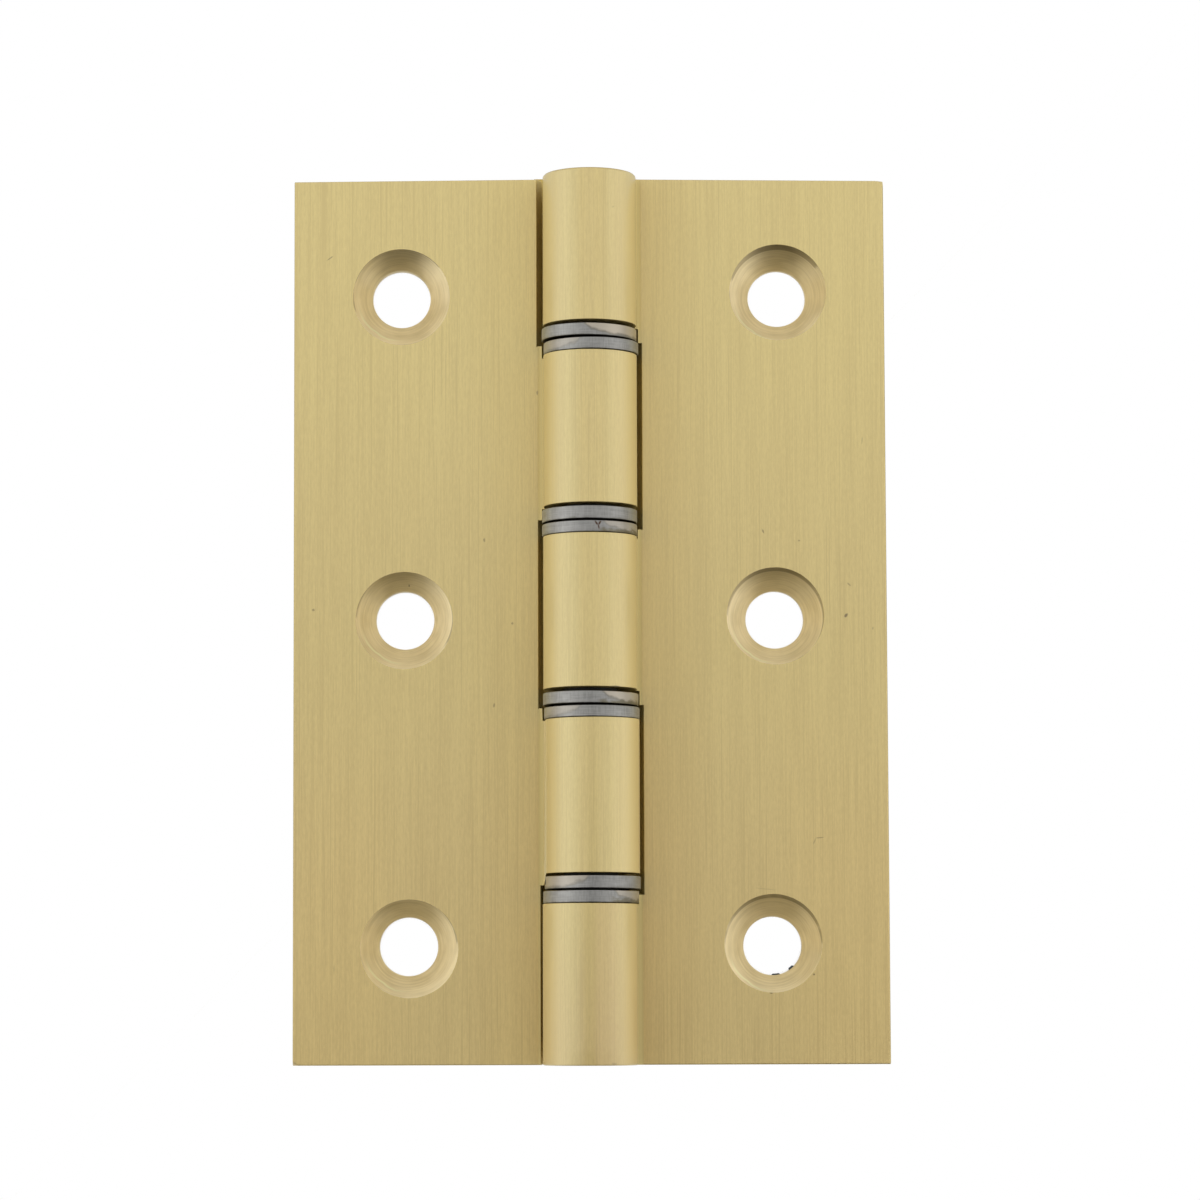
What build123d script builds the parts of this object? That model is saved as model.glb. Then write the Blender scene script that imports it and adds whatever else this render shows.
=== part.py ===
from build123d import *
from math import sqrt
import os

os.makedirs("parts", exist_ok=True)

# A brass butt hinge with two steel washers in every slot of its barrel, open and flat on its back.
# X runs across the leaves, Y along the pin, Z up out of the faces. The backs lie on Z = 0, where
# the barrel's lowest line is flush with them. Sizes are in millimetres, angles in degrees.

# Leaves, drawn in one piece with their knuckles
hinge_height = 76.0  # along the pin
leaf_reach = 25.4  # from the pin's axis to a leaf's outer edge
leaf_thickness = 2.5
edge_break = 0.15  # chamfer round the front of a leaf and on the barrel's two ends

# Barrel and pin
barrel_radius = 4.0
root_fillet = 0.5  # where the barrel springs from the face of its leaf
pin_radius = 2.3
pin_recess = 0.2  # from the barrel's end in to the end of the pin
pin_chamfer = 0.4
running_clearance = 0.05  # round the pin in the knuckles that turn on it
driven_clearance = 0.01  # round the pin in the knuckles that hold it

# Washers, two in each slot, with the slack that is left above, between and below them
washer_thickness = 0.9
washer_proud = 0.05  # how far a washer stands out past the barrel
washer_bore_clearance = 0.2  # round the pin
washer_edge = 0.08  # rounding of a washer's rim, cut as a chamfer
slack_above = 0.35
slack_between = 0.27
slack_below = 0.13
# How far each washer has slid towards +X on the pin, from the top slot down, upper one first
washer_slides = (-0.04, 0.12, -0.03, -0.03, 0.03, 0.12, 0.16, 0.03)

# Knuckles: three of one length between the slots, and the two end ones take what is left
inner_knuckle = 13.05
row_shift = 0.22  # the row of slots lies this far above the middle of the hinge

# Cuts beside the barrel: a shoulder just clear of the washers, then a deeper notch between shoulders
shoulder_clearance = 0.05  # from a washer's rim to the shoulder of its own leaf
shoulder_length = 1.0  # along the pin, past each end of a knuckle
frame_notch_depths = (0.38, 0.43)  # beyond the shoulders, from the top down
door_notch_depths = (0.53, 0.40, 0.25)
frame_notch_shift = -0.2  # of the notches along the pin, from the row of slots
door_notch_shift = 0.07

# Countersunk screw holes, three in a row on each leaf
screw_hole_radius = 2.45
countersink_radius = 4.12
countersink_angle = 90
screw_edge_inset = 9.56  # from the leaf's outer edge to the middle hole
screw_end_inset = 10.1  # from the leaf's ends to the outer holes
screw_row_shift = -0.08
screw_row_lean = 0.73  # the row's top leans away from the barrel

# Sizes that follow from those above
washer_radius = barrel_radius + washer_proud
washer_bore_radius = pin_radius + washer_bore_clearance
shoulder_side = washer_radius + shoulder_clearance
slot_width = slack_above + washer_thickness + slack_between + washer_thickness + slack_below
slot_pitch = inner_knuckle + slot_width
slot_middles = [row_shift + slot_pitch * step for step in (1.5, 0.5, -0.5, -1.5)]
hinge_top = hinge_height / 2
hinge_bottom = -hinge_height / 2
screw_pitch = hinge_height / 2 - screw_end_inset
past_end = 1.0  # how far a cut runs out past the solid


def slot_top(number):
    """Height along the pin of the upper face of a slot, counted from 0 at the top."""
    return slot_middles[number] + slot_width / 2


def slot_bottom(number):
    """Height along the pin of the lower face of a slot."""
    return slot_middles[number] - slot_width / 2


def cut_side(gaps, notch_shift, notch_depths, side):
    """Draw the cuts of one leaf, seen from the front: each gap, and the notch inside it."""
    for (top, bottom), depth in zip(gaps, notch_depths):
        gap_width = shoulder_side + barrel_radius + past_end
        with Locations((side * (shoulder_side - gap_width / 2), (top + bottom) / 2)):
            Rectangle(gap_width, top - bottom)
        notch_top = top if top > hinge_top else top - shoulder_length + notch_shift
        notch_bottom = bottom if bottom < hinge_bottom else bottom + shoulder_length + notch_shift
        with Locations((side * (shoulder_side + depth / 2), (notch_top + notch_bottom) / 2)):
            Rectangle(depth, notch_top - notch_bottom)


# Leaf blank: the drawn section cut to length, with its screw holes, before the knuckles are cut.
# The fillet's arc touches the face at its foot and the barrel at its head.
axis_over_face = barrel_radius - leaf_thickness
fillet_foot = sqrt((barrel_radius + root_fillet) ** 2 - (axis_over_face - root_fillet) ** 2)
on_barrel = barrel_radius / (barrel_radius + root_fillet)
fillet_head = (fillet_foot * on_barrel, barrel_radius - (axis_over_face - root_fillet) * on_barrel)

with BuildPart() as leaf_blank:
    with BuildSketch(Plane.XZ):
        with BuildLine():
            back = Polyline(
                (0, 0), (leaf_reach, 0), (leaf_reach, leaf_thickness), (fillet_foot, leaf_thickness)
            )
            RadiusArc(back @ 1, fillet_head, root_fillet)
            ThreePointArc(fillet_head, (-barrel_radius, barrel_radius), back @ 0)
        make_face()
    extrude(amount=hinge_top, both=True)
    ends = leaf_blank.faces().filter_by(Axis.Y).edges()
    end_front = ends.filter_by_position(Axis.Z, leaf_thickness, 2 * barrel_radius)
    long_front = leaf_blank.edges().filter_by(Axis.Y).group_by(Axis.X)[-1].sort_by(Axis.Z)[-1:]
    chamfer(end_front + long_front, edge_break)
    row_place = (leaf_reach - screw_edge_inset, screw_row_shift, leaf_thickness)
    with Locations(Location(row_place, (0, 0, -screw_row_lean))):
        with GridLocations(0, screw_pitch, 1, 3):
            CounterSinkHole(
                screw_hole_radius, countersink_radius, counter_sink_angle=countersink_angle
            )

# Frame leaf: three knuckles, which hold the pin
frame_gaps = [(slot_top(0), slot_bottom(1)), (slot_top(2), slot_bottom(3))]

with BuildPart() as frame_leaf:
    add(leaf_blank.part)
    with BuildSketch(Plane.XY):
        cut_side(frame_gaps, frame_notch_shift, frame_notch_depths, 1)
    extrude(amount=2 * barrel_radius + past_end, both=True, mode=Mode.SUBTRACT)
    with BuildSketch(Plane(origin=(0, 0, barrel_radius), z_dir=(0, 1, 0))):
        Circle(pin_radius + driven_clearance)
    extrude(amount=hinge_top + past_end, both=True, mode=Mode.SUBTRACT)

frame_leaf.part.label = "frame_leaf"
export_step(frame_leaf.part, "parts/frame_leaf.step")

# Door leaf: the same blank turned to the other hand, with two knuckles that turn on the pin
door_gaps = [
    (hinge_top + past_end, slot_bottom(0)),
    (slot_top(1), slot_bottom(2)),
    (slot_top(3), hinge_bottom - past_end),
]

with BuildPart() as door_leaf:
    add(mirror(leaf_blank.part, about=Plane.YZ))
    with BuildSketch(Plane.XY):
        cut_side(door_gaps, door_notch_shift, door_notch_depths, -1)
    extrude(amount=2 * barrel_radius + past_end, both=True, mode=Mode.SUBTRACT)
    with BuildSketch(Plane(origin=(0, 0, barrel_radius), z_dir=(0, 1, 0))):
        Circle(pin_radius + running_clearance)
    extrude(amount=hinge_top + past_end, both=True, mode=Mode.SUBTRACT)

door_leaf.part.label = "door_leaf"
export_step(door_leaf.part, "parts/door_leaf.step")

# Pin: one plain rod through every knuckle and washer, chamfered at both ends
with BuildPart() as hinge_pin:
    with BuildSketch(Plane(origin=(0, 0, barrel_radius), z_dir=(0, 1, 0))):
        Circle(pin_radius)
    extrude(amount=hinge_top - pin_recess, both=True)
    chamfer(hinge_pin.faces().filter_by(Axis.Y).edges(), pin_chamfer)

hinge_pin.part.label = "hinge_pin"
export_step(hinge_pin.part, "parts/hinge_pin.step")

# Washers: flat steel rings, an upper and a lower one in each slot, counted from the top slot down.
# They hang loose on the pin, so they stand on the surface that the leaves' backs lie on.
for number, middle in enumerate(slot_middles):
    lower_face = middle - slot_width / 2 + slack_below
    upper_face = lower_face + washer_thickness + slack_between
    for place, face, slide in (
        ("upper", upper_face, washer_slides[2 * number]),
        ("lower", lower_face, washer_slides[2 * number + 1]),
    ):
        with BuildPart() as washer:
            with BuildSketch(Plane(origin=(slide, face, washer_radius), z_dir=(0, 1, 0))):
                Circle(washer_radius)
                Circle(washer_bore_radius, mode=Mode.SUBTRACT)
            extrude(amount=washer_thickness)
            rims = washer.edges().filter_by(GeomType.CIRCLE).group_by(SortBy.RADIUS)[-1]
            chamfer(rims, washer_edge)
        washer.part.label = f"washer_{number + 1}_{place}"
        export_step(washer.part, f"parts/washer_{number + 1}_{place}.step")
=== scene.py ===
"""Looks of an open brass butt hinge with paired steel washers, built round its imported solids."""

import logging
import math
from dataclasses import dataclass, field
from enum import Enum
from typing import Callable

import bmesh
import bpy
from mathutils import Euler, Matrix, Vector


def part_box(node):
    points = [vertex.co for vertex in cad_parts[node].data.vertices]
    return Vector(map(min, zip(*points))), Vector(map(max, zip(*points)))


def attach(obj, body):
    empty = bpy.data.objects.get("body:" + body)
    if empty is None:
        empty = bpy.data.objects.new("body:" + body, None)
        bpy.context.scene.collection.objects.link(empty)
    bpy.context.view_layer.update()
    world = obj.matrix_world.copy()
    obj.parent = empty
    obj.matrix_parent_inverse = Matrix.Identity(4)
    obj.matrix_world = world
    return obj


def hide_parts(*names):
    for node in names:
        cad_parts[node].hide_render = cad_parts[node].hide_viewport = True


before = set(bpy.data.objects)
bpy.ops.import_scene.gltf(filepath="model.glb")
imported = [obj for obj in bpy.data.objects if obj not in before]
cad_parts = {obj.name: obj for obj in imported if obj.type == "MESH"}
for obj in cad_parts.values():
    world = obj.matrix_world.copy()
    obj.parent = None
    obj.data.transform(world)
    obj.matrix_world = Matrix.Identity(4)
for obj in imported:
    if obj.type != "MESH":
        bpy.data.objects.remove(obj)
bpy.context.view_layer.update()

MM = 0.001
log = logging.getLogger("hinge")

Colour = tuple[float, float, float]
Point = tuple[float, float]
Piece = bpy.types.Object
Tree = bpy.types.NodeTree
Socket = bpy.types.NodeSocket
Feed = Socket | float | int | tuple | None
Lay = Callable[[float, float, float], tuple]

RUST: Colour = (0.085, 0.048, 0.034)
WHITE: Colour = (1.0, 1.0, 1.0)


class Side(Enum):
    """Which side of the barrel a leaf lies on, as the sign of its X."""

    FRAME = 1
    DOOR = -1


class Region(Enum):
    """The ways in which a leaf's surfaces were made, each with a finish of its own."""

    SATIN = "satin"
    SAWN = "sawn"
    DRAWN = "drawn"
    MILLED = "milled"
    TURNED = "turned"
    BURR = "burr"


@dataclass(frozen=True)
class HingeSizes:
    """Sizes that the pieces share, in millimetres."""

    height: float = 76.0
    leaf_reach: float = 25.4
    leaf_thickness: float = 2.5
    barrel_radius: float = 4.0
    root_fillet: float = 0.5
    pin_radius: float = 2.3
    pin_recess: float = 0.2
    pin_chamfer: float = 0.4
    shoulder_side: float = 4.1
    shoulder_length: float = 1.0
    hole_radius: float = 2.49
    sink_radius: float = 4.16
    sink_land: float = 0.05
    screw_pitch: float = 27.9
    screw_row: Point = (15.84, -0.08)
    screw_row_lean: float = 0.73
    washer_thickness: float = 1.0
    washer_bore: float = 2.5


@dataclass(frozen=True)
class Mark:
    """A small stain, pit or scratch: its place, half sizes, turn in degrees, strength and colour."""

    x: float
    y: float
    half_length: float
    half_width: float
    turn: float = 0.0
    strength: float = 0.6
    colour: Colour = (0.10, 0.07, 0.03)
    z: float = 2.5


@dataclass(frozen=True)
class Zone:
    """Part of the brushed brass whose tone differs a little, on the barrel or on the leaf's face."""

    x: Point
    y: Point
    fade: Point
    tint: Colour
    on_barrel: bool = True


@dataclass(frozen=True)
class Burr:
    """A sliver of metal left standing at the edge of a through hole, seen from the hole's middle."""

    hole: int
    direction: float
    half_spread: float
    proud: float


# Meshes


def arc(centre: Point, radius: float, start: float, end: float, steps: int) -> list[Point]:
    """Divide an arc.

    Args:
        centre: The arc's centre.
        radius: The arc's radius.
        start: The first angle in degrees.
        end: The last angle in degrees.
        steps: How many equal steps the arc is divided into.

    Returns:
        The points from start to end, both included.
    """
    turns = (math.radians(start + (end - start) * step / steps) for step in range(steps + 1))
    return [(centre[0] + radius * math.cos(a), centre[1] + radius * math.sin(a)) for a in turns]


def within(value: float) -> float:
    """Keep a number between 0 and 1."""
    return min(1.0, max(0.0, value))


def new_object(name: str, data: bpy.types.ID) -> Piece:
    """Link a new object that shows a mesh, a lamp or the camera, at the origin.

    Args:
        name: The object's name.
        data: What it shows.

    Returns:
        The new object.
    """
    piece = bpy.data.objects.new(name, data)
    bpy.context.scene.collection.objects.link(piece)
    return piece


def from_bmesh(name: str, bm: bmesh.types.BMesh) -> Piece:
    """Close a bmesh into a new object with its faces pointing outwards.

    Args:
        name: The object's name.
        bm: The geometry, which is freed.

    Returns:
        The new object.
    """
    bmesh.ops.remove_doubles(bm, verts=bm.verts, dist=1e-5)
    bmesh.ops.recalc_face_normals(bm, faces=bm.faces)
    mesh = bpy.data.meshes.new(name)
    bm.to_mesh(mesh)
    bm.free()
    return new_object(name, mesh)


def prism(name: str, outlines: list[list[Point]], low: float, high: float,
          lay: Lay) -> Piece:
    """Extrude closed outlines into solids.

    Args:
        name: The object's name.
        outlines: One list of points for each solid.
        low: Where the solids start along the third direction.
        high: Where they end.
        lay: Turns a point's two coordinates and its height into a place.

    Returns:
        One object that holds all the solids.
    """
    bm = bmesh.new()
    for outline in outlines:
        rings = [[bm.verts.new(lay(a, b, level)) for a, b in outline] for level in (low, high)]
        bm.faces.new(rings[0])
        bm.faces.new(rings[1])
        count = len(outline)
        for at in range(count):
            after = (at + 1) % count
            bm.faces.new((rings[0][at], rings[0][after], rings[1][after], rings[1][at]))
    return from_bmesh(name, bm)


def lathe(name: str, profile: list[Point], segments: int,
          lay: Lay) -> Piece:
    """Turn a profile into a closed solid.

    Args:
        name: The object's name.
        profile: Radius and height of each ring, from one end to the other.
        segments: How many faces go round.
        lay: Turns the two coordinates across the axis and the one along it into a place.

    Returns:
        The new object, closed with a flat face at each end.
    """
    bm = bmesh.new()
    rings = []
    for radius, height in profile:
        turns = (2 * math.pi * step / segments for step in range(segments))
        rings.append([bm.verts.new(lay(radius * math.cos(a), radius * math.sin(a), height)) for a in turns])
    for below, above in zip(rings, rings[1:]):
        for at in range(segments):
            after = (at + 1) % segments
            bm.faces.new((below[at], below[after], above[after], above[at]))
    bm.faces.new(rings[0])
    bm.faces.new(rings[-1])
    return from_bmesh(name, bm)


def settle(piece: Piece) -> Piece:
    """Turn an object's modifiers into plain mesh.

    Args:
        piece: The object, whose modifiers are used up.

    Returns:
        The same object.
    """
    graph = bpy.context.evaluated_depsgraph_get()
    graph.update()
    mesh = bpy.data.meshes.new_from_object(
        piece.evaluated_get(graph), preserve_all_data_layers=True, depsgraph=graph)
    mesh.name = piece.name
    piece.modifiers.clear()
    piece.data = mesh
    return piece


def discard(*pieces: Piece) -> None:
    """Remove helper objects that aren't part of the hinge."""
    for piece in pieces:
        bpy.data.objects.remove(piece, do_unlink=True)


def finish_mesh(piece: Piece) -> Piece:
    """Shade a piece so that its flats stay flat and its rounded edges roll over, and bring it to metres.

    Args:
        piece: The object in millimetres, because faces of real size are too small to be weighed.

    Returns:
        The same object in metres.
    """
    piece.data.shade_smooth()
    piece.data.set_sharp_from_angle(angle=math.radians(55))
    weighting = piece.modifiers.new("flats", "WEIGHTED_NORMAL")
    weighting.weight = 60
    weighting.keep_sharp = True
    settle(piece)
    piece.data.transform(Matrix.Scale(MM, 4))
    return piece


# Nodes


class Wiring:
    """Adds nodes to one tree and links them."""

    def __init__(self, tree: Tree) -> None:
        """Keep the tree that the nodes go into."""
        self.tree = tree

    def feed(self, socket: Socket, value: Feed) -> None:
        """Link a socket to another, or set its value.

        Args:
            socket: The input.
            value: The output or the value that goes into it, or None to leave it alone.
        """
        if isinstance(value, Socket):
            self.tree.links.new(value, socket)
        elif socket.type == "RGBA" and value is not None:
            socket.default_value = (*value[:3], 1.0)
        elif value is not None:
            socket.default_value = value

    def node(self, kind: str, feeds: dict | None = None, **settings: object) -> bpy.types.Node:
        """Add a node.

        Args:
            kind: The node's type.
            feeds: What goes into its inputs, by name or number.
            settings: Its other properties.

        Returns:
            The new node.
        """
        node = self.tree.nodes.new(kind)
        for name, value in settings.items():
            setattr(node, name, value)
        for name, value in (feeds or {}).items():
            self.feed(node.inputs[name], value)
        return node

    def made(self, kind: str, feeds: dict | None = None, **settings: object) -> Socket:
        """Add a node and give its first output."""
        return self.node(kind, feeds, **settings).outputs[0]

    def math(self, operation: str, *values: Feed, clamp: bool = False) -> Socket:
        """Work out a number from up to three others."""
        feeds = dict(enumerate(values))
        return self.made("ShaderNodeMath", feeds, operation=operation, use_clamp=clamp)

    def vector(self, operation: str, *values: Feed) -> Socket:
        """Work out a vector, or a length, from one or two vectors."""
        node = self.node("ShaderNodeVectorMath", dict(enumerate(values)), operation=operation)
        return node.outputs["Value" if operation in ("LENGTH", "DISTANCE") else "Vector"]

    def join(self, x: Feed, y: Feed, z: Feed = 0.0) -> Socket:
        """Make a vector of three numbers."""
        return self.made("ShaderNodeCombineXYZ", {0: x, 1: y, 2: z})

    def part(self, vector: Feed) -> list[Socket]:
        """Take a vector apart into its three numbers."""
        return list(self.node("ShaderNodeSeparateXYZ", {0: vector}).outputs)

    def times(self, a: Feed, b: Feed, clamp: bool = False) -> Socket:
        """Multiply two numbers."""
        return self.math("MULTIPLY", a, b, clamp=clamp)

    def plus(self, a: Feed, b: Feed) -> Socket:
        """Add two numbers."""
        return self.math("ADD", a, b)

    def minus(self, a: Feed, b: Feed, clamp: bool = False) -> Socket:
        """Take the second number from the first."""
        return self.math("SUBTRACT", a, b, clamp=clamp)

    def absolute(self, value: Feed) -> Socket:
        """Drop a number's sign."""
        return self.math("ABSOLUTE", value)

    def scaled(self, vector: Feed, *scale: float) -> Socket:
        """Multiply a vector by one number, or by one for each direction."""
        return self.vector("MULTIPLY", vector, scale if len(scale) == 3 else scale * 3)

    def turned(self, vector: Feed, angle: Feed) -> Socket:
        """Turn a vector about Z."""
        feeds = {"Vector": vector, "Angle": angle}
        return self.made("ShaderNodeVectorRotate", feeds, rotation_type="Z_AXIS")

    def attribute(self, name: str, output: str = "Fac") -> Socket:
        """Read what the mesh keeps under a name."""
        return self.node("ShaderNodeAttribute", attribute_name=name).outputs[output]

    def noise(self, place: Feed, detail: float = 2.0, rough: float = 0.5) -> Socket:
        """Read a noise at a place that is already in units of the noise's cells."""
        feeds = {"Vector": place, "Scale": 1.0, "Detail": detail, "Roughness": rough, "Distortion": 0.0}
        return self.made("ShaderNodeTexNoise", feeds)

    def ramp(self, value: Feed, low: float, high: float, bottom: Feed = 0.0, top: Feed = 1.0) -> Socket:
        """Ease from bottom to top while the value goes from low to high."""
        feeds = {"Value": value, "From Min": low, "From Max": high, "To Min": bottom, "To Max": top}
        return self.made("ShaderNodeMapRange", feeds, interpolation_type="SMOOTHSTEP")

    def fall(self, value: Feed, low: float, high: float) -> Socket:
        """Ease from 1 to 0 while the value goes from low to high."""
        return self.ramp(value, low, high, 1.0, 0.0)

    def blend(self, share: Feed, a: Feed, b: Feed, way: str = "MIX") -> Socket:
        """Blend two colours."""
        feeds = {0: share, 6: a, 7: b}
        return self.node("ShaderNodeMix", feeds, data_type="RGBA", blend_type=way).outputs[2]

    def between(self, share: Feed, a: Feed, b: Feed) -> Socket:
        """Blend two numbers."""
        return self.made("ShaderNodeMix", {0: share, 2: a, 3: b}, data_type="FLOAT")

    def group(self, tree: Tree, **feeds: Feed) -> dict:
        """Place a node group.

        Args:
            tree: The group.
            feeds: What goes into its inputs, with underscores in their names for spaces.

        Returns:
            The group's results, by name.
        """
        node = self.tree.nodes.new(self.tree.bl_idname.replace("NodeTree", "NodeGroup"))
        node.node_tree = tree
        for name, value in feeds.items():
            self.feed(node.inputs[name.replace("_", " ")], value)
        return node.outputs


def new_group(name: str, kind: str, takes: dict[str, str], gives: dict[str, str],
              **defaults: object) -> tuple[Wiring, dict, dict]:
    """Start a node group.

    Args:
        name: The group's name.
        kind: The type of its tree.
        takes: The type of each input.
        gives: The type of each output.
        defaults: What an input holds where nothing is fed to it.

    Returns:
        The group's wiring, what comes in and where the results go, by name.
    """
    tree = bpy.data.node_groups.new(name, kind)
    for way, sockets in (("INPUT", takes), ("OUTPUT", gives)):
        for title, sort in sockets.items():
            socket = tree.interface.new_socket(name=title, in_out=way, socket_type="NodeSocket" + sort)
            if title in defaults:
                socket.default_value = defaults[title]
    w = Wiring(tree)
    return w, w.node("NodeGroupInput").outputs, w.node("NodeGroupOutput").inputs


def start_nodes(owner: bpy.types.Material | bpy.types.World) -> Wiring:
    """Empty the node tree of a new material or world.

    Args:
        owner: The material or world.

    Returns:
        The wiring of its tree.
    """
    owner.use_nodes = True
    owner.node_tree.nodes.clear()
    return Wiring(owner.node_tree)


def paler(colour: Colour, by: float) -> Colour:
    """Scale a colour, up to white."""
    return tuple(min(1.0, by * c) for c in colour)


class Effects:
    """The surface effects that several finishes share, each one a node group."""

    def __init__(self) -> None:
        """Build every group once."""
        self.strokes = self._strokes()
        self.screw_polar = self._screw_polar()
        self.rings = self._rings()
        self.spot = self._spot()
        self.soil_and_shade = self._soil_and_shade()
        self.edge_wear = self._edge_wear()

    def _strokes(self) -> Tree:
        """Brush strokes and softer bands along one direction, with sparse darker hairlines.

        Returns:
            The group's tree.
        """
        w, get, put = new_group(
            "brush_strokes", "ShaderNodeTree",
            {"Place": "Vector", "Strokes": "Vector", "Bands": "Vector", "Short": "Vector",
             "Hairline": "Float", "Seed": "Float"},
            {"Tone": "Float", "Height": "Float"}, Short=(0.7, 8.0, 0.7))
        seed = get["Seed"]
        offset = w.join(seed, w.times(seed, 1.7), w.times(seed, 0.6))
        across = w.vector("ADD", w.vector("MULTIPLY", get["Place"], get["Strokes"]), offset)
        along = w.vector("ADD", w.vector("MULTIPLY", get["Place"], get["Bands"]), offset)
        fine = w.noise(across, 2.0, 0.6)
        short = w.noise(w.vector("MULTIPLY", across, get["Short"]), 2.0, 0.65)
        soft = w.noise(along, 2.0, 0.5)
        hair = w.noise(w.scaled(across, 0.8, 0.35, 0.8), 1.0, 0.4)
        tone = w.plus(w.times(fine, 0.38), w.times(short, 0.38))
        tone = w.plus(tone, w.times(soft, 0.24))
        dark = w.times(w.ramp(hair, 0.62, 0.74), get["Hairline"])
        w.feed(put["Tone"], w.minus(tone, dark, clamp=True))
        w.feed(put["Height"], w.minus(fine, w.times(dark, 1.6)))
        return w.tree

    def _screw_polar(self) -> Tree:
        """Distance and direction from the nearest screw hole of a row.

        Returns:
            The group's tree.
        """
        w, get, put = new_group(
            "screw_polar", "ShaderNodeTree",
            {"Place": "Vector", "Row": "Vector", "Lean": "Float", "Pitch": "Float"},
            {"Radius": "Float", "Direction": "Vector", "Number": "Float"})
        x, y, _ = w.part(w.turned(w.vector("SUBTRACT", get["Place"], get["Row"]), get["Lean"]))
        half = w.times(get["Pitch"], 0.5)
        flat = w.join(x, w.math("WRAP", y, half, w.times(half, -1.0)))
        w.feed(put["Radius"], w.vector("LENGTH", flat))
        w.feed(put["Direction"], w.vector("NORMALIZE", flat))
        w.feed(put["Number"], w.math("ROUND", w.math("DIVIDE", y, get["Pitch"])))
        return w.tree

    def _rings(self) -> Tree:
        """Concentric tool marks round a screw hole, with a slower chatter round the turn.

        Returns:
            The group's tree.
        """
        w, get, put = new_group(
            "tool_rings", "ShaderNodeTree",
            {"Radius": "Float", "Direction": "Vector", "Number": "Float"},
            {"Tone": "Float", "Height": "Float"})
        x, y, _ = w.part(get["Direction"])
        number = w.times(get["Number"], 7.3)
        made = []
        for out, turn, detail, rough in ((8.0, 0.7, 3.0, 0.6), (1.4, 1.6, 2.0, 0.5)):
            place = w.join(w.times(get["Radius"], out), w.times(x, turn), w.plus(w.times(y, turn), number))
            made.append(w.noise(place, detail, rough))
        ring, slow = made
        w.feed(put["Tone"], w.plus(w.times(ring, 0.6), w.times(slow, 0.4)))
        w.feed(put["Height"], ring)
        return w.tree

    def _spot(self) -> Tree:
        """A soft-edged oval at a place, turned in the plane of the leaf.

        Returns:
            The group's tree.
        """
        w, get, put = new_group(
            "spot", "ShaderNodeTree",
            {"Place": "Vector", "Centre": "Vector", "Half Size": "Vector", "Turn": "Float"},
            {"Mask": "Float"})
        away = w.turned(w.vector("SUBTRACT", get["Place"], get["Centre"]), get["Turn"])
        shaken = w.noise(w.scaled(get["Place"], 6.0), 2.0, 0.6)
        reach = w.vector("LENGTH", w.vector("DIVIDE", away, get["Half Size"]))
        edge = w.plus(reach, w.times(w.minus(shaken, 0.5), 0.9))
        w.feed(put["Mask"], w.fall(edge, 0.45, 1.25))
        return w.tree

    def _soil_and_shade(self) -> Tree:
        """Dirt, with painted shade, where a surface is closed in, patchy at its border.

        Returns:
            The group's tree.
        """
        w, get, put = new_group(
            "soil_and_shade", "ShaderNodeTree", {"Openness": "Float", "Place": "Vector", "Amount": "Float"},
            {"Mask": "Float"})
        patchy = w.times(w.minus(w.noise(w.scaled(get["Place"], 2.0), 3.0, 0.6), 0.5), 0.7)
        closed = w.minus(1.0, get["Openness"])
        mask = w.ramp(w.plus(closed, w.times(patchy, closed)), 0.08, 0.85)
        w.feed(put["Mask"], w.times(mask, get["Amount"], clamp=True))
        return w.tree

    def _edge_wear(self) -> Tree:
        """Bare bright metal where an outer edge is rubbed, broken up by noise.

        Returns:
            The group's tree.
        """
        w, get, put = new_group(
            "edge_wear", "ShaderNodeTree", {"Thickness": "Float", "Place": "Vector", "Amount": "Float"},
            {"Mask": "Float"})
        patchy = w.noise(w.scaled(get["Place"], 1.5), 3.0, 0.6)
        broken = w.times(w.fall(get["Thickness"], 0.35, 0.95), w.ramp(patchy, 0.3, 0.65, 0.35, 1.0))
        w.feed(put["Mask"], w.times(broken, get["Amount"], clamp=True))
        return w.tree


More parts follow.
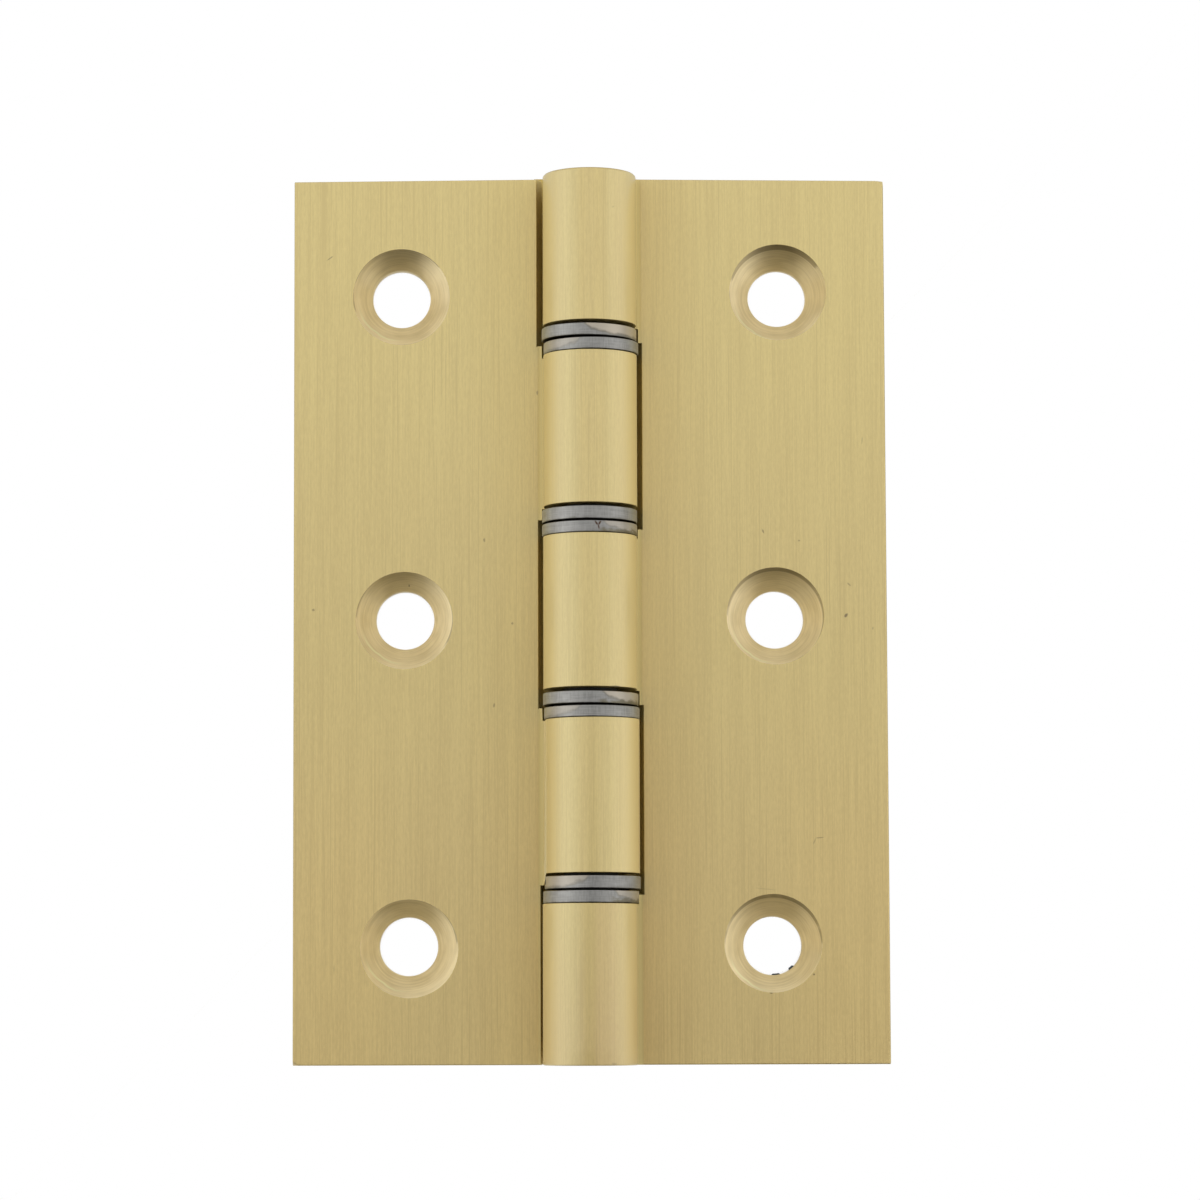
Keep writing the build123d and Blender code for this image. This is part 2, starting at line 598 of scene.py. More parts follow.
@dataclass(frozen=True)
class Metal:
    """What every metal finish here has: two tones, its gloss, and a clear coat where it is lacquered."""

    name: str
    dark: Colour
    light: Colour
    rough: Point = (0.36, 0.46)
    metallic: float = 1.0
    brushed: float = 0.0
    coat: float = 0.0
    coat_rough: float = 0.22
    coat_index: float = 1.6
    bump_depth: float = 0.003
    # Dirt that also paints shade in closed-in places: its colour, reach and amount
    soil_and_shade_colour: Colour = (0.045, 0.03, 0.012)
    soil_and_shade_reach: float = 0.9
    soil_and_shade_amount: float = 0.5
    soil_rough: float = 0.62
    wear_amount: float = 0.0
    wear_reach: float = 0.22

    def start(self) -> tuple[Wiring, Socket]:
        """Start the material.

        Returns:
            Its wiring, and the place on the piece in millimetres.
        """
        w = start_nodes(bpy.data.materials.new(self.name))
        return w, w.scaled(w.node("ShaderNodeTexCoord").outputs["Object"], 1 / MM)

    def stain(self, w: Wiring, effects: Effects, place: Feed, colour: Feed,
              marks: tuple[Mark, ...]) -> Feed:
        """Lay small marks over a colour.

        Args:
            w: The material's wiring.
            effects: The shared effects.
            place: The place in millimetres.
            colour: The colour without them.
            marks: The marks.

        Returns:
            The colour with them.
        """
        for mark in marks:
            spot = w.group(effects.spot, Place=place, Centre=(mark.x, mark.y, mark.z),
                           Half_Size=(mark.half_length, mark.half_width, 1.2),
                           Turn=-math.radians(mark.turn))
            colour = w.blend(w.times(spot["Mask"], mark.strength), colour, mark.colour)
        return colour

    def close(self, w: Wiring, effects: Effects, place: Feed, colour: Feed, rough: Feed,
              height: Feed, coat: Feed = None, metallic: Feed = None) -> bpy.types.Material:
        """Add dirt, which also paints shade where the piece is closed in, and edge wear, and end in the
        shader.

        Args:
            w: The material's wiring.
            effects: The shared effects.
            place: The place in millimetres.
            colour: The clean metal's colour.
            rough: Its roughness.
            height: Its relief, about 0 to 1.
            coat: How much of the lacquer is there, where that changes over the piece.
            metallic: How bare the metal is, where that changes over the piece.

        Returns:
            The finished material.
        """
        # Dirt and painted shade: the colour darkens where the piece is closed in
        outer = w.node("ShaderNodeAmbientOcclusion", {"Distance": self.soil_and_shade_reach * MM},
                       samples=6, only_local=True).outputs["AO"]
        soil_and_shade_mask = w.group(effects.soil_and_shade, Openness=outer, Place=place, Amount=self.soil_and_shade_amount)["Mask"]
        colour = w.blend(soil_and_shade_mask, colour, self.soil_and_shade_colour)
        rough = w.between(soil_and_shade_mask, rough, self.soil_rough)
        if self.wear_amount:
            inner = w.node("ShaderNodeAmbientOcclusion", {"Distance": self.wear_reach * MM},
                           samples=6, only_local=True, inside=True).outputs["AO"]
            worn = w.group(effects.edge_wear, Thickness=inner, Place=place, Amount=self.wear_amount)
            colour = w.blend(worn["Mask"], colour, paler(self.light, 1.16))
        bump = w.made("ShaderNodeBump", {
            "Height": height, "Strength": 1.0, "Distance": self.bump_depth * MM})
        shader = w.node("ShaderNodeBsdfPrincipled", {
            "Base Color": colour, "Roughness": rough,
            "Metallic": self.metallic if metallic is None else metallic,
            "Normal": bump, "Coat Weight": self.coat if coat is None else coat,
            "Coat Roughness": self.coat_rough, "Coat IOR": self.coat_index})
        if self.brushed:
            w.feed(shader.inputs["Anisotropic"], self.brushed)
            w.feed(shader.inputs["Anisotropic Rotation"], 0.25)
            w.feed(shader.inputs["Tangent"], w.join(0.0, 1.0))
        w.node("ShaderNodeOutputMaterial", {"Surface": shader.outputs[0]})
        return bpy.data.materials[self.name]


@dataclass(frozen=True)
class SatinBrass(Metal):
    """Brass brushed along the pin, on the faces and round the barrel."""

    strokes: tuple = (10.0, 0.15, 10.0)
    bands: tuple = (0.9, 0.035, 0.9)
    seed: float = 0.0
    marks: tuple[Mark, ...] = ()
    # Painted shade on the face towards the barrel, painted light on the barrel's flanks, the crease's
    # painted shade and its fall lower down, and painted shade on the barrel's lower end
    shade: Colour = (0.98, 0.955, 0.89)
    painted_flank_light: Colour = (0.72, 0.60, 0.285)
    crease: Colour = (0.65, 0.522, 0.213)
    crease_shade_fall: float = 0.80
    painted_low_shade: Colour = (0.95, 0.925, 0.95)
    zones: tuple[Zone, ...] = ()

    def tint(self, w: Wiring, place: tuple, colour: Feed, zone: Zone) -> Feed:
        """Give one zone its own tone.

        Args:
            w: The material's wiring.
            place: X, Y and Z of the place in millimetres.
            colour: The colour without it.
            zone: Where it lies and its tint.

        Returns:
            The colour with it.
        """
        mask = w.ramp(place[2], 2.7, 3.4, *((0.0, 1.0) if zone.on_barrel else (1.0, 0.0)))
        for along, (low, high), fade in zip(place, (zone.x, zone.y), zone.fade):
            mask = w.times(mask, w.ramp(along, low - fade, low + fade))
            mask = w.times(mask, w.fall(along, high - fade, high + fade))
        return w.blend(mask, colour, zone.tint, "MULTIPLY")

    def build(self, effects: Effects) -> bpy.types.Material:
        """Make the material.

        Args:
            effects: The shared effects.

        Returns:
            The material.
        """
        w, place = self.start()
        brush = w.group(effects.strokes, Place=place, Strokes=self.strokes, Bands=self.bands,
                        Short=(0.8, 11.0, 0.8), Hairline=0.3, Seed=self.seed)
        tone = w.ramp(brush["Tone"], 0.31, 0.69)
        colour = self.stain(w, effects, place, w.blend(tone, self.dark, self.light), self.marks)
        x, y, z = w.part(place)
        out = w.absolute(x)
        # Painted shade on the face towards the barrel, painted light on the barrel's flanks, and painted
        # shade towards the barrel's lower end
        near = w.times(w.fall(out, 4.2, 12.0), w.fall(z, 2.6, 3.2))
        colour = w.blend(near, colour, self.shade, "MULTIPLY")
        flank_light_share = w.times(w.ramp(out, 2.2, 3.6, 0.0, 0.75), w.ramp(z, 3.1, 3.6))
        colour = w.blend(flank_light_share, colour, self.painted_flank_light)
        low_shade = w.times(w.fall(y, -38.0, -22.0), w.ramp(z, 2.6, 3.2))
        colour = w.blend(low_shade, colour, self.painted_low_shade, "MULTIPLY")
        for zone in self.zones:
            colour = self.tint(w, (x, y, z), colour, zone)
        # In the crease where the barrel springs from the face the brass is matte, less metallic and without
        # coat, and its colour paints the shade there, darker lower down
        root = w.times(w.ramp(out, 3.86, 4.0), w.fall(out, 4.36, 4.5))
        root = w.times(root, w.fall(z, 3.1, 3.6))
        crease = w.blend(w.ramp(y, -32.0, 32.0), paler(self.crease, self.crease_shade_fall), self.crease)
        colour = w.blend(root, colour, crease)
        rough = w.between(root, w.between(tone, *self.rough), 0.75)
        coat = w.times(w.minus(1.0, root), self.coat)
        metallic = w.between(root, self.metallic, 0.25)
        return self.close(w, effects, place, colour, rough, brush["Height"], coat, metallic)


@dataclass(frozen=True)
class LinedMetal(Metal):
    """Metal that a saw, a die or a cutter has left with straight lines."""

    strokes: tuple = (6.0, 6.0, 0.4)
    bands: tuple = (0.5, 0.5, 0.5)
    seed: float = 3.0

    def build(self, effects: Effects) -> bpy.types.Material:
        """Make the material.

        Args:
            effects: The shared effects.

        Returns:
            The material.
        """
        w, place = self.start()
        brush = w.group(effects.strokes, Place=place, Strokes=self.strokes, Bands=self.bands,
                        Hairline=0.35, Seed=self.seed)
        tone = w.ramp(brush["Tone"], 0.2, 0.8)
        colour = w.blend(tone, self.dark, self.light)
        return self.close(w, effects, place, colour, w.between(tone, *self.rough), brush["Height"])


@dataclass(frozen=True)
class TurnedBrass(Metal):
    """Freshly cut brass of the countersinks, with the tool's rings and a bright burr."""

    side: Side = Side.FRAME
    rim_line: Colour = (0.22, 0.16, 0.07)
    burr_radius: float = 4.02
    burr_towards: tuple = (-0.62, -0.78, 0.0)
    marks: tuple[Mark, ...] = ()
    sizes: HingeSizes = field(default_factory=HingeSizes)

    def build(self, effects: Effects) -> bpy.types.Material:
        """Make the material.

        Args:
            effects: The shared effects.

        Returns:
            The material.
        """
        w, place = self.start()
        s, sign = self.sizes, self.side.value
        polar = w.group(effects.screw_polar, Place=place, Row=(sign * s.screw_row[0], s.screw_row[1], 0.0),
                        Lean=sign * math.radians(s.screw_row_lean), Pitch=s.screw_pitch)
        radius, direction, number = (polar[name] for name in ("Radius", "Direction", "Number"))
        rings = w.group(effects.rings, Radius=radius, Direction=direction, Number=number)
        tone = w.ramp(rings["Tone"], 0.33, 0.67)
        colour = w.blend(tone, self.dark, self.light)
        near = w.fall(w.vector("DISTANCE", direction, self.burr_towards), 0.15, 0.75)
        wander = w.times(w.noise(w.scaled(direction, 2.0), 2.0), 0.5)
        off = w.absolute(w.minus(w.plus(radius, wander), self.burr_radius))
        burr = w.times(w.ramp(off, 0.02, 0.12, 0.55, 0.0), near)
        colour = w.blend(burr, colour, paler(self.light, 1.3))
        x, y, _ = w.part(direction)
        patchy = w.noise(w.join(w.times(x, 1.5), w.times(y, 1.5), number), 2.0)
        rim = w.times(w.ramp(radius, s.sink_radius - 0.13, s.sink_radius - 0.06),
                      w.ramp(w.plus(patchy, w.times(y, 0.2)), 0.42, 0.58))
        colour = w.blend(w.times(rim, 0.55), colour, self.rim_line)
        colour = self.stain(w, effects, place, colour, self.marks)
        return self.close(w, effects, place, colour, w.between(tone, *self.rough), rings["Height"])


@dataclass(frozen=True)
class WasherSteel(Metal):
    """Rims of stamped steel washers: fine lines round them, a paler burnished arc, dirt and rust, with
    painted shade on their flat faces and towards the right, and painted reflection towards their ends.
    """

    pale: Colour = (0.465, 0.415, 0.335)
    grease: Colour = (0.10, 0.09, 0.06)
    grime: Colour = (0.155, 0.135, 0.085)
    # The painted reflection, lighter and cooler, towards both ends of the rim as it is seen
    ends: Colour = (1.25, 1.34, 1.50)
    rust_marks: tuple[Mark, ...] = ()
    rim_radius: float = 4.05
    # In degrees from the arc's middle: where it narrows, where it ends, and where the grime ends
    arc_narrows: Point = (25.0, 56.0)
    arc_ends: Point = (54.0, 70.0)
    grime_ends: Point = (62.0, 72.0)
    sizes: HingeSizes = field(default_factory=HingeSizes)

    def build(self, effects: Effects) -> bpy.types.Material:
        """Make the material.

        Args:
            effects: The shared effects.

        Returns:
            The material.
        """
        w, place = self.start()
        x, axial, z = w.part(w.attribute("ring_place", "Vector"))
        seed = w.times(w.attribute("washer_number"), 5.7)
        burnished, grimy = w.attribute("burnished"), w.attribute("grimy")
        degrees = w.math("DIVIDE", w.absolute(w.math("ARCTAN2", z, x)), math.radians(1.0))
        # Fine lines round the rim, clouds, and a hatching across it
        fine = w.join(w.times(x, 0.5), w.times(axial, 14.0), w.plus(w.times(z, 0.5), seed))
        lines = w.noise(fine, 3.0, 0.6)
        cloud = w.noise(w.join(w.plus(x, seed), w.times(axial, 2.0), z), 3.0, 0.6)
        hatch = w.noise(w.join(w.times(degrees, 0.6), w.times(axial, 1.2), seed), 1.0)
        tone = w.plus(w.plus(w.times(lines, 0.45), w.times(cloud, 0.25)), w.times(hatch, 0.3))
        colour = w.blend(w.ramp(tone, 0.32, 0.68), self.dark, self.light)
        # The burnished arc: all of the rim's width in its middle, less of it towards its ends
        level = w.math("DIVIDE", axial, self.sizes.washer_thickness / 2)
        shaken = w.times(w.minus(cloud, 0.5), 0.9)
        border = w.plus(w.ramp(degrees, *self.arc_narrows, -0.75, 0.0),
                        w.ramp(degrees, *self.arc_ends, 0.0, 1.6))
        above = w.plus(w.minus(level, border), shaken)
        colour = w.blend(w.times(w.ramp(above, -0.32, 0.4), burnished), colour, self.pale)
        # Grease along the arc's border, grime under it, and a dark lower edge
        inside = w.fall(degrees, *self.grime_ends)
        under = w.times(w.ramp(w.absolute(above), 0.0, 0.4, 0.5, 0.0), inside)
        colour = w.blend(w.times(under, burnished), colour, self.grease)
        dirt = w.fall(w.plus(level, w.times(shaken, 2.2)), -0.75, -0.05)
        colour = w.blend(w.times(w.times(dirt, grimy), inside), colour, self.grime)
        low = w.ramp(w.plus(level, shaken), -1.05, -0.75, 0.45, 0.0)
        colour = w.blend(low, colour, self.grease)
        # Painted reflection: lighter and cooler towards both ends of the rim as it is seen. Painted shade:
        # a little darker towards the right one, and lighter towards the left
        across = w.part(place)[0]
        colour = w.blend(w.ramp(w.absolute(across), 2.9, 3.7), colour, self.ends, "MULTIPLY")
        side = w.ramp(across, -2.4, 2.4, 1.10, 0.90)
        colour = w.blend(1.0, colour, w.join(side, side, side), "MULTIPLY")
        # Painted shade: the rim's flat faces, which look into the narrow gaps, are nearly black
        from_pin = w.vector("LENGTH", w.join(x, z))
        flat = w.ramp(from_pin, self.rim_radius - 0.08, self.rim_radius - 0.02, 0.9, 0.0)
        colour = w.blend(flat, colour, self.soil_and_shade_colour)
        colour = self.stain(w, effects, place, colour, self.rust_marks)
        return self.close(w, effects, place, colour, w.between(tone, *self.rough), lines)


# The hinge


@dataclass
class Leaf:
    """One leaf of drawn brass with its knuckles, cut and drilled, in millimetres until it is finished."""

    name: str
    body: str
    side: Side
    bore_radius: float
    gaps: list[Point]
    notch_depths: tuple[float, ...]
    notch_shift: float
    knocked_corner: tuple[Vector, Vector]
    marks: tuple[Mark, ...]
    # How far the countersinks were drilled off the holes, from the lowest hole up
    sink_shifts: tuple[Point, Point, Point]
    # The shade painted on the face towards the barrel, and how much darker the painted shade in the crease
    # beside it is lower down
    shade: Colour
    crease_shade_fall: float
    # How far from the pin the shoulder stands beside each gap's upper washer
    upper_shoulders: tuple[float, ...]
    # How far the upper end falls away at its outer corner, and the outer edge runs in at its foot
    off_square: Point
    zones: tuple[Zone, ...] = ()
    burrs: tuple[Burr, ...] = ()
    sink_marks: tuple[Mark, ...] = ()
    # Knuckles whose outside stands off the pin: the two ends of each along it, and how far it stands off
    stray_knuckles: tuple[tuple[float, float, float], ...] = ()
    sizes: HingeSizes = field(default_factory=HingeSizes)
    widest_round: float = 0.26
    # From the pin: where the flat face begins beside the barrel, and how far out the bore's walls count
    face_start: float = 4.4
    bore_side: float = 3.0
    # Along the pin, from a gap's upper end: how far its upper washer needs the wider shoulder
    upper_washer_room: float = 1.34

    def section(self) -> list[Point]:
        """Trace the drawn section, from under the pin out to the leaf's edge and back round the barrel.

        Returns:
            The points (x, z).
        """
        s = self.sizes
        rise = s.barrel_radius - s.leaf_thickness - s.root_fillet
        foot = math.sqrt((s.barrel_radius + s.root_fillet) ** 2 - rise ** 2)
        head = math.degrees(math.atan2(rise, -foot))
        points = [(0.0, 0.0), (s.leaf_reach, 0.0), (s.leaf_reach, s.leaf_thickness)]
        points += arc((foot, s.leaf_thickness + s.root_fillet), s.root_fillet, 270.0, head, 10)
        points += arc((0.0, s.barrel_radius), s.barrel_radius, head - 180.0, 270.0, 112)[1:-1]
        return [(self.side.value * x, z) for x, z in points]

    def blank(self) -> Piece:
        """Cut the drawn section to length.

        Returns:
            The blank, with its regions as material slots.
        """
        half = self.sizes.height / 2
        blank = prism(self.name, [self.section()], -half, half, lambda x, z, y: (x, y, z))
        for region in (Region.SATIN, Region.SAWN, Region.DRAWN):
            blank.data.materials.append(self.slot_for(region))
        for face in blank.data.polygons:
            outer_edge = abs(face.center.x) > self.sizes.leaf_reach - 0.01
            if outer_edge or abs(face.normal.y) > 0.9:
                face.material_index = 1
            elif face.normal.z < -0.99:
                face.material_index = 2
        return blank

    def slot_for(self, region: Region) -> bpy.types.Material:
        """Give the material that stands for a region of this leaf until it is dressed."""
        name = f"{self.name}_{region.value}_region"
        return bpy.data.materials.get(name) or bpy.data.materials.new(name)

    def cuts(self) -> list[Piece]:
        """Make the cutters: gaps with their notches, pin bore, knocked corner and screw holes.

        Returns:
            One object for each kind of cut, with the region that it leaves behind.
        """
        s, top = self.sizes, self.sizes.height / 2
        gaps = prism(f"{self.name}_gaps", [self.gap_outline(*ends, shoulder)
                                           for ends, shoulder in zip(self.gaps, self.upper_shoulders)],
                     -1.0, 10.0, lambda x, y, z: (x, y, z))
        notches = []
        for number, ((high, low), depth) in enumerate(zip(self.gaps, self.notch_depths)):
            notch_high = high if high > top else high - s.shoulder_length + self.notch_shift
            notch_low = low if low < -top else low + s.shoulder_length + self.notch_shift
            notches.append(prism(f"{self.name}_notch_{number}", [self.notch_section(depth)],
                                 notch_low, notch_high, lambda x, z, y: (x, y, z)))
        bore = lathe(f"{self.name}_bore", [(self.bore_radius, -top - 1), (self.bore_radius, top + 1)], 96,
                     lambda a, b, y: (a, y, b + s.barrel_radius))
        knock = self.corner_cutter()
        made = {Region.MILLED: [gaps, *notches, bore], Region.SATIN: [knock],
                Region.TURNED: self.screw_cutters()}
        for region, cutters in made.items():
            for cutter in cutters:
                cutter.data.materials.clear()
                cutter.data.materials.append(self.slot_for(region))
        return [cutter for cutters in made.values() for cutter in cutters]

    def gap_outline(self, high: float, low: float, upper_shoulder: float) -> list[Point]:
        """Trace a gap between knuckles, seen from the front.

        Args:
            high: The gap's upper end along the pin.
            low: Its lower end.
            upper_shoulder: How far from the pin its shoulder stands beside the upper washer.

        Returns:
            The points (x, y).
        """
        near, step = self.sizes.shoulder_side, high - self.upper_washer_room
        points = [(-6.0, high), (upper_shoulder, high), (near, low), (-6.0, low)]
        if upper_shoulder != near:
            points[2:2] = [(upper_shoulder, step), (near, step)]
        return [(self.side.value * x, y) for x, y in points]

    def notch_section(self, depth: float) -> list[Point]:
        """Trace the cut that clears the other leaf's knuckle, with a wall that is round about the pin.

        Args:
            depth: How far the cut goes past the shoulder, at the leaf's face.

        Returns:
            The points (x, z).
        """
        s, centre = self.sizes, (0.0, self.sizes.barrel_radius)
        deep, lip = s.shoulder_side + depth, s.barrel_radius + 0.05
        radius = math.hypot(deep, s.leaf_thickness - s.barrel_radius)
        ends = [math.degrees(math.atan2(s.leaf_thickness - s.barrel_radius, deep)),
                -math.degrees(math.acos(lip / radius))]
        wall = arc(centre, radius, *ends, 12)
        path = [(-6.0, 10.0), (deep, 10.0), *wall, (lip, -1.0), (-6.0, -1.0)]
        return [(self.side.value * x, z) for x, z in path]

    def corner_cutter(self) -> Piece:
        """Make the block that takes a small facet off the corner that was knocked.

        Returns:
            The cutter.
        """
        corner, take = self.knocked_corner
        outward = Vector((1 / take.x, 1 / take.y, 1 / take.z))
        on_plane = corner - Vector((take.x, 0.0, 0.0))
        turn = outward.to_track_quat("Z", "Y").to_matrix().to_4x4()
        block = prism(f"{self.name}_knock", [[(-2, -2), (2, -2), (2, 2), (-2, 2)]], 0.0, 2.0,
                      lambda a, b, c: (a, b, c))
        block.data.transform(Matrix.Translation(on_plane) @ turn)
        return block

    def screw_cutters(self) -> list[Piece]:
        """Repeat the through hole and the countersink down the row.

        Returns:
            The cutters of the through holes and of the countersinks, made plain.
        """
        s, sign = self.sizes, self.side.value
        under = s.leaf_thickness - s.sink_land
        hole = [(s.hole_radius, -1.0), (s.hole_radius, s.leaf_thickness + 1.0)]
        sink = [(s.hole_radius - 1.0, under - s.sink_radius + s.hole_radius - 1.0),
                (s.sink_radius, under), (s.sink_radius, s.leaf_thickness + 1.0)]
        cutters = []
        for kind, profile, off in (("holes", hole, ()), ("sinks", sink, self.sink_shifts)):
            cutter = lathe(f"{self.name}_screw_{kind}", profile, 128, lambda a, b, z: (a, b, z))
            repeat = cutter.modifiers.new("row", "NODES")
            repeat.node_group = row_tree()
            set_inputs(repeat, {
                "Count": 3, "Pitch": s.screw_pitch, "Material": self.slot_for(Region.TURNED),
                "Middle": (sign * s.screw_row[0], s.screw_row[1], 0.0),
                "Lean": -sign * math.radians(s.screw_row_lean),
                **{f"Shift {number + 1}": (*shift, 0.0) for number, shift in enumerate(off)}})
            cutters.append(settle(cutter))
        return cutters

    def edge_share(self, edge: bmesh.types.BMEdge, turned: int) -> float:
        """Say how wide an edge is rounded, with no jump in width along the barrel's ends.

        Args:
            edge: An edge of the leaf after its cuts.
            turned: The slot of the screw holes.

        Returns:
            The share of the widest rounding, or 0 where the edge stays sharp.
        """
        s = self.sizes
        if len(edge.link_faces) != 2 or not edge.is_convex or edge.calc_face_angle(0.0) < math.radians(24):
            return 0.0
        middle = (edge.verts[0].co + edge.verts[1].co) / 2
        if any(face.material_index == turned for face in edge.link_faces):
            return 0.08
        out, above = abs(middle.x), middle.z - s.leaf_thickness
        at_end = abs(middle.y) > s.height / 2 - 0.01
        if not at_end and out < s.leaf_reach - 0.01:
            in_crease = s.shoulder_side - 0.05 < out < self.face_start and above > -0.1
            return 0.0 if in_crease else 0.2
        from_pin = math.hypot(middle.x, middle.z - s.barrel_radius)
        if from_pin < self.bore_side:
            return 0.25
        face, top, under = (0.4, 0.4, 0.3) if at_end and middle.y < 0 else (0.5, 1.0, 0.3)
        if above > -0.01:
            return face + (top - face) * within(above / 1.5)
        on_barrel = out < s.barrel_radius and from_pin > s.barrel_radius - 0.05
        return under + (face - under) * max(0.0, 1.0 + above / 1.2) if on_barrel else under

    def round_edges(self, piece: Piece) -> None:
        """Give each outer edge the rounding that it has: wide in front, slight elsewhere.

        Args:
            piece: The leaf after its cuts, in millimetres.
        """
        turned = piece.data.materials.find(self.slot_for(Region.TURNED).name)
        bm = bmesh.new()
        bm.from_mesh(piece.data)
        bmesh.ops.remove_doubles(bm, verts=bm.verts, dist=1e-4)
        bmesh.ops.dissolve_degenerate(bm, edges=bm.edges, dist=1e-4)
        weight = bm.edges.layers.float.new("bevel_weight_edge")
        for edge in bm.edges:
            edge[weight] = self.edge_share(edge, turned)
        bm.to_mesh(piece.data)
        bm.free()
        bevel = piece.modifiers.new("edges", "BEVEL")
        bevel.limit_method = "WEIGHT"
        bevel.width = self.widest_round
        bevel.segments = 3
        bevel.use_clamp_overlap = False
        bevel.miter_outer = "MITER_ARC"
        settle(piece)

    def build(self) -> Piece:
        """Make the leaf's mesh.

        Returns:
            The leaf in metres, not yet dressed.
        """
        piece = self.blank()
        cutters = self.cuts()
        for cutter in cutters:
            cut = piece.modifiers.new(cutter.name, "BOOLEAN")
            cut.operation, cut.solver, cut.object = "DIFFERENCE", "EXACT", cutter
            cut.material_mode = "TRANSFER"
        settle(piece)
        discard(*cutters)
        self.round_edges(piece)
        self.run_off_square(piece)
        self.set_off_knuckles(piece)
        self.raise_burrs(piece)
        return finish_mesh(piece)

    def run_off_square(self, piece: Piece) -> None:
        """Let the upper end and the outer edge run a little off square, clear of the screw holes.

        Args:
            piece: The leaf in millimetres.
        """
        half, reach, (fall, run_in) = self.sizes.height / 2, self.sizes.leaf_reach, self.off_square
        for vertex in piece.data.vertices:
            x, y, _ = vertex.co
            out = max(0.0, (abs(x) - self.face_start) / (reach - self.face_start))
            near_end, near_edge = within((y - half + 4.0) / 3.0), within((abs(x) - reach + 3.0) / 2.0)
            vertex.co.x -= self.side.value * run_in * near_edge * (half - y) / (2 * half)
            vertex.co.y -= fall * out * near_end

    def set_off_knuckles(self, piece: Piece) -> None:
        """Move the outside of each stray knuckle a little, while its bore stays on the pin.

        The walls beside it and the root under it stay too, so that the leaves don't meet in the swing.

        Args:
            piece: The leaf in millimetres.
        """
        edge = self.face_start - 0.05
        for low, high, off in self.stray_knuckles:
            for vertex in piece.data.vertices:
                x, y, z = vertex.co
                from_pin = math.hypot(x, z - self.sizes.barrel_radius)
                on_knuckle = low - 0.01 < y < high + 0.01 and abs(x) < edge
                if on_knuckle and from_pin > self.bore_side and z > 0.05:
                    share = within((edge - abs(x)) / 0.3) if z < 3.5 else 1.0
                    if x * self.side.value > 0.0:
                        share *= within((z - 2.5) / 0.4)
                    vertex.co.x += off * share

    def raise_burrs(self, piece: Piece) -> None:
        """Add the slivers that the drill left standing in the through holes.

        Args:
            piece: The leaf in millimetres, which gains them as loose shells.
        """
        s, sign = self.sizes, self.side.value
        if not self.burrs:
            return
        bm = bmesh.new()
        bm.from_mesh(piece.data)
        slot = len(piece.data.materials)
        piece.data.materials.append(self.slot_for(Region.BURR))
        lean = math.radians(s.screw_row_lean)
        for burr in self.burrs:
            along = (burr.hole - 1) * s.screw_pitch
            x, y = s.screw_row[0] + along * math.sin(lean), s.screw_row[1] + along * math.cos(lean)
            ends = (burr.direction - burr.half_spread, burr.direction + burr.half_spread)
            outline = arc((sign * x, y), s.hole_radius + 0.04, *ends, 6)
            outline += arc((sign * x, y), s.hole_radius - burr.proud, ends[1] - 2.5, ends[0] + 2.5, 4)
            sliver = prism("sliver", [outline], 0.62, 0.80, lambda x, y, z: (x, y, z))
            before = len(bm.faces)
            bm.from_mesh(sliver.data)
            bm.faces.ensure_lookup_table()
            for face in bm.faces[before:]:
                face.material_index = slot
            discard(sliver)
        bm.to_mesh(piece.data)
        bm.free()

    def face_zones(self) -> tuple[Zone, ...]:
        """Name the zones that both leaves have: a band of painted highlight and one of painted shade along
        the barrel, and the ends of the face.

        Returns:
            The zones.
        """
        outer = sorted((17.0 * self.side.value, 27.0 * self.side.value))
        return (
            # Painted highlight, paler and cooler, on the barrel left of its middle; painted shade right of
            # it
            Zone((-2.7, -1.0), (-40.0, 40.0), (0.5, 1.0), (0.99, 1.03, 1.12)),
            Zone((1.1, 2.6), (-40.0, 40.0), (0.5, 1.0), (0.945, 0.96, 0.985)),
            Zone((-27.0, 27.0), (14.0, 50.0), (1.0, 12.0), (1.025, 1.04, 1.02), False),
            Zone((-27.0, 27.0), (-50.0, -14.0), (1.0, 12.0), (1.01, 0.985, 1.02), False),
            Zone((outer[0], outer[1]), (-50.0, -14.0), (3.0, 12.0), (1.04, 1.03, 1.01), False),
        )

